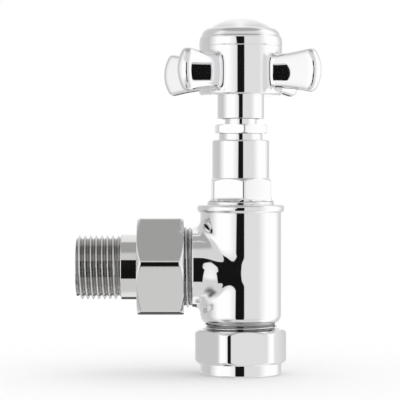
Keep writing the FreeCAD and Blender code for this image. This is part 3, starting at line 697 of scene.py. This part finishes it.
def makeValveBody(form):
    stub = turned(form["stub"])
    branchThread = threaded(**form["branchThread"])
    for part in (stub, branchThread):
        bmesh.ops.transform(part, matrix=onBranch, verts=part.verts)
    spigotThread = threaded(**form["spigotThread"])
    place(merged(makeBarrel(form), turned(form["bead"]), turned(form["spigot"]), (spigotThread, 1), stub,
                 (branchThread, 2)), "valveBody", "valve_body", threads=["spigotThread", "branchThread"])


makeValveBody(valveBody)


# studio: pale floor, a bright surround with a dark slot in front where the camera stands

studio = {
    "floorSize": 6.0,
    "floorColour": 0.92, "floorRough": 0.9,
    "ambient": 1.1,
    # brightness round the object at eye level, by bearing: 0 is at the camera, 90 on its right
    # a white back, grey flanks, a soft box on each side and a pale wall in front
    "walls": [(-180, 1.0), (-160, 0.75), (-140, 0.65), (-100, 0.6), (-70, 1.1), (-35, 1.1), (-10, 0.8),
              (50, 0.8), (75, 1.1), (115, 1.1), (145, 0.65), (160, 0.75), (180, 1.0)],
    "frontHigh": 0.72, "frontHighFrom": 20, "frontHighTo": 34, "frontWide": 70, "frontSoft": 20,
    "roof": 0.42, "roofFrom": 47, "roofTo": 60, "roofBack": (16, 6),
    "slot": 0.008, "slotLeft": -16.5, "slotWaist": -10.5, "slotRight": 9, "slotLow": -40, "slotHigh": 27,
    "slotSoft": 1.2, "slotNarrows": (-5, 2), "slotWidens": (20, 10),
    "backSlot": 171, "backLow": -48, "backHigh": -7, "backDark": 0.12,
    "benchDark": 0.15, "benchLeft": -75, "benchRight": -40, "benchTop": -46, "benchLow": -66, "benchSoft": 9,
}


def fade(tree, value, start, end):
    # 0 below start, 1 beyond end, both in degrees
    node = addNode(tree, "ShaderNodeMapRange", interpolation_type="SMOOTHSTEP")
    join(tree, value, node.inputs["Value"])
    node.inputs["From Min"].default_value = math.radians(min(start, end))
    node.inputs["From Max"].default_value = math.radians(max(start, end))
    if start > end:
        node.inputs["To Min"].default_value, node.inputs["To Max"].default_value = 1, 0
    return node.outputs["Result"]


def band(tree, value, low, high, soft):
    # 1 from low to high with soft edges, in degrees
    return newMath(tree, "MULTIPLY", fade(tree, value, low - soft, low + soft),
                   fade(tree, value, high + soft, high - soft))


def blendGrey(tree, share, under, over):
    node = addNode(tree, "ShaderNodeMix", data_type="FLOAT")
    join(tree, share, node.inputs["Factor"])
    if isinstance(under, (int, float)):
        node.inputs["A"].default_value = under
    else:
        join(tree, under, node.inputs["A"])
    node.inputs["B"].default_value = over
    return node.outputs["Result"]


def makeWorld():
    world = bpy.data.worlds.new("studio")
    bpy.context.scene.world = world
    world.use_nodes = True
    tree = world.node_tree
    tree.nodes.clear()
    direction = addNode(tree, "ShaderNodeTexCoord")
    axes = addNode(tree, "ShaderNodeSeparateXYZ")
    join(tree, direction.outputs["Generated"], axes.inputs[0])
    towards = newMath(tree, "MULTIPLY", axes.outputs["Y"], -1.0)
    bearing = newMath(tree, "ARCTAN2", axes.outputs["X"], towards)
    height = newMath(tree, "ARCSINE", axes.outputs["Z"])
    around = newMath(tree, "MULTIPLY_ADD", bearing, 0.5 / math.pi)
    around.node.inputs[2].default_value = 0.5
    walls = addNode(tree, "ShaderNodeValToRGB")
    ramp = walls.color_ramp
    while len(ramp.elements) < len(studio["walls"]):
        ramp.elements.new(0.5)
    for element, (angle, value) in zip(ramp.elements, studio["walls"]):
        element.position = 0.5 + angle / 360
        element.color = (value, value, value, 1)
    join(tree, around, walls.inputs["Fac"])
    grey = walls.outputs["Color"]
    # in front the surround is a light grey above and below eye level
    away = newMath(tree, "ABSOLUTE", height)
    aside = newMath(tree, "ABSOLUTE", bearing)
    wide, soft = studio["frontWide"], studio["frontSoft"]
    front = fade(tree, aside, wide + soft, wide - soft)
    high = fade(tree, away, studio["frontHighFrom"], studio["frontHighTo"])
    grey = blendGrey(tree, newMath(tree, "MULTIPLY", front, high), grey, studio["frontHigh"])
    # the roof is darker from the camera to overhead
    overhead = fade(tree, height, studio["roofFrom"], studio["roofTo"])
    ahead = fade(tree, newMath(tree, "ARCSINE", axes.outputs["Y"]), *studio["roofBack"])
    grey = blendGrey(tree, newMath(tree, "MULTIPLY", overhead, ahead), grey, studio["roof"])
    # the edge of a dark bench, low on the left
    soft = studio["benchSoft"]
    wide = band(tree, bearing, studio["benchLeft"], studio["benchRight"], soft)
    deep = band(tree, height, studio["benchLow"], studio["benchTop"], soft)
    grey = blendGrey(tree, newMath(tree, "MULTIPLY", wide, deep), grey, studio["benchDark"])
    # the camera stands in a dark slot
    soft = studio["slotSoft"]
    waist = newMath(tree, "MULTIPLY", fade(tree, height, *studio["slotNarrows"]),
                    fade(tree, height, *studio["slotWidens"]))
    left = blendGrey(tree, waist, studio["slotLeft"], studio["slotWaist"])
    inward = newMath(tree, "SUBTRACT", bearing, newMath(tree, "RADIANS", left))
    slot = newMath(tree, "MULTIPLY", fade(tree, inward, -soft, soft),
                   fade(tree, bearing, studio["slotRight"] + soft, studio["slotRight"] - soft))
    tall = band(tree, height, studio["slotLow"], studio["slotHigh"], soft)
    grey = blendGrey(tree, newMath(tree, "MULTIPLY", slot, tall), grey, studio["slot"])
    # a second gap stands behind the object
    gap = fade(tree, aside, studio["backSlot"] - soft, studio["backSlot"] + soft)
    behind = newMath(tree, "MULTIPLY", gap, band(tree, height, studio["backLow"], studio["backHigh"], soft))
    grey = blendGrey(tree, behind, grey, studio["backDark"])
    path = addNode(tree, "ShaderNodeLightPath")
    shown = addNode(tree, "ShaderNodeMix", data_type="FLOAT")
    join(tree, path.outputs["Is Glossy Ray"], shown.inputs["Factor"])
    shown.inputs["A"].default_value = studio["ambient"]
    join(tree, grey, shown.inputs["B"])
    light = addNode(tree, "ShaderNodeBackground")
    join(tree, shown.outputs["Result"], light.inputs["Color"])
    seen = addNode(tree, "ShaderNodeBackground")
    seen.inputs["Color"].default_value = (1, 1, 1, 1)
    pick = addNode(tree, "ShaderNodeMixShader")
    plain = newMath(tree, "MAXIMUM", path.outputs["Is Camera Ray"], path.outputs["Is Transmission Ray"])
    join(tree, plain, pick.inputs["Fac"])
    join(tree, light.outputs[0], pick.inputs[1])
    join(tree, seen.outputs[0], pick.inputs[2])
    output = addNode(tree, "ShaderNodeOutputWorld")
    join(tree, pick.outputs[0], output.inputs["Surface"])


def makeFloor():
    bm = bmesh.new()
    bmesh.ops.create_grid(bm, x_segments=1, y_segments=1, size=studio["floorSize"] / 2)
    mesh = bpy.data.meshes.new("floor")
    bm.to_mesh(mesh)
    bm.free()
    material = bpy.data.materials.new("floorPaper")
    material.use_nodes = True
    shader = material.node_tree.nodes["Principled BSDF"]
    shader.inputs["Base Color"].default_value = (studio["floorColour"],) * 3 + (1,)
    shader.inputs["Roughness"].default_value = studio["floorRough"]
    shader.inputs["Specular IOR Level"].default_value = 0.0
    # polished metal sees the surround where the floor would be
    tree = material.node_tree
    path = addNode(tree, "ShaderNodeLightPath")
    clear = addNode(tree, "ShaderNodeBsdfTransparent")
    pick = addNode(tree, "ShaderNodeMixShader")
    join(tree, path.outputs["Is Glossy Ray"], pick.inputs["Fac"])
    join(tree, shader.outputs[0], pick.inputs[1])
    join(tree, clear.outputs[0], pick.inputs[2])
    join(tree, pick.outputs[0], tree.nodes["Material Output"].inputs["Surface"])
    mesh.materials.append(material)
    floor = bpy.data.objects.new("floor", mesh)
    bpy.context.collection.objects.link(floor)


makeWorld()
makeFloor()
bpy.context.scene.view_settings.view_transform = "Standard"
print("studio made")


# camera at the photograph's place

cameraAt = {"place": (-13.26, -650.0, 64.2), "aim": (-13.26, 0.0, 56.7), "lens": 179.6, "sensor": 36.0,
            "clipStart": 0.01}


def makeCamera():
    camera = bpy.data.cameras.new("camera")
    camera.lens = cameraAt["lens"]
    camera.sensor_width = cameraAt["sensor"]
    camera.clip_start = cameraAt["clipStart"]
    holder = bpy.data.objects.new("camera", camera)
    bpy.context.collection.objects.link(holder)
    spot = Vector(cameraAt["place"]) * mm
    holder.location = spot
    holder.rotation_euler = (Vector(cameraAt["aim"]) * mm - spot).to_track_quat("-Z", "Y").to_euler()
    bpy.context.scene.camera = holder


makeCamera()
